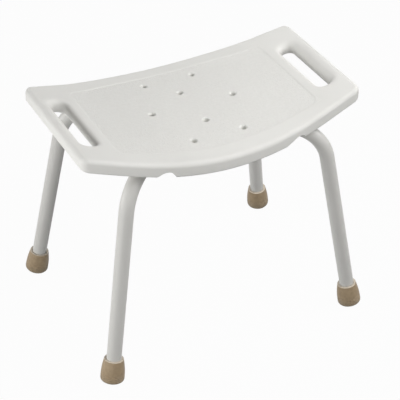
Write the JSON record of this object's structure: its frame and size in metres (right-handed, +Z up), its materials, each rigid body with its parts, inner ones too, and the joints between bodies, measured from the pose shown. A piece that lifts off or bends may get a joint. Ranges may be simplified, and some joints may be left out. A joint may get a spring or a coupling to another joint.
{
  "type": "shower stool",
  "caption": "Backless bath seat: dished, bowed moulded top with hand slots and drain holes, on crossed bent tubes with splayed legs and rubber tips.",
  "frame": {"origin": "on the floor, under the middle of the seat", "axes": "+X along the seat towards its right end, +Y towards the back, +Z up"},
  "size_m": [0.5092, 0.3812, 0.4196],
  "materials": {
    "seat_plastic": "white moulded plastic, satin rim, fine pebble grain on the middle panel",
    "tube_coat": "white powder coat, semi-gloss",
    "tip_rubber": "tan moulded rubber, matt",
    "zinc_steel": "zinc plated",
    "stainless": "stainless steel, plain",
    "washer_plastic": "white nylon",
    "insert_brass": "plain brass"
  },
  "bodies": {
    "root": {"seat": "seat_plastic", "cross_tube_upper": "tube_coat", "cross_tube_lower": "tube_coat", "foot_tip_front_left": "tip_rubber", "tip_disc_front_left": "zinc_steel", "seat_screw_front_left": "stainless", "saddle_washer_front_left": "washer_plastic", "seat_insert_front_left": "insert_brass", "foot_tip_front_right": "tip_rubber", "tip_disc_front_right": "zinc_steel", "seat_screw_front_right": "stainless", "saddle_washer_front_right": "washer_plastic", "seat_insert_front_right": "insert_brass", "foot_tip_back_left": "tip_rubber", "tip_disc_back_left": "zinc_steel", "seat_screw_back_left": "stainless", "saddle_washer_back_left": "washer_plastic", "seat_insert_back_left": "insert_brass", "foot_tip_back_right": "tip_rubber", "tip_disc_back_right": "zinc_steel", "seat_screw_back_right": "stainless", "saddle_washer_back_right": "washer_plastic", "seat_insert_back_right": "insert_brass", "centre_bolt": "stainless", "centre_washer": "stainless", "centre_nut": "stainless"}
  },
  "joints": []
}
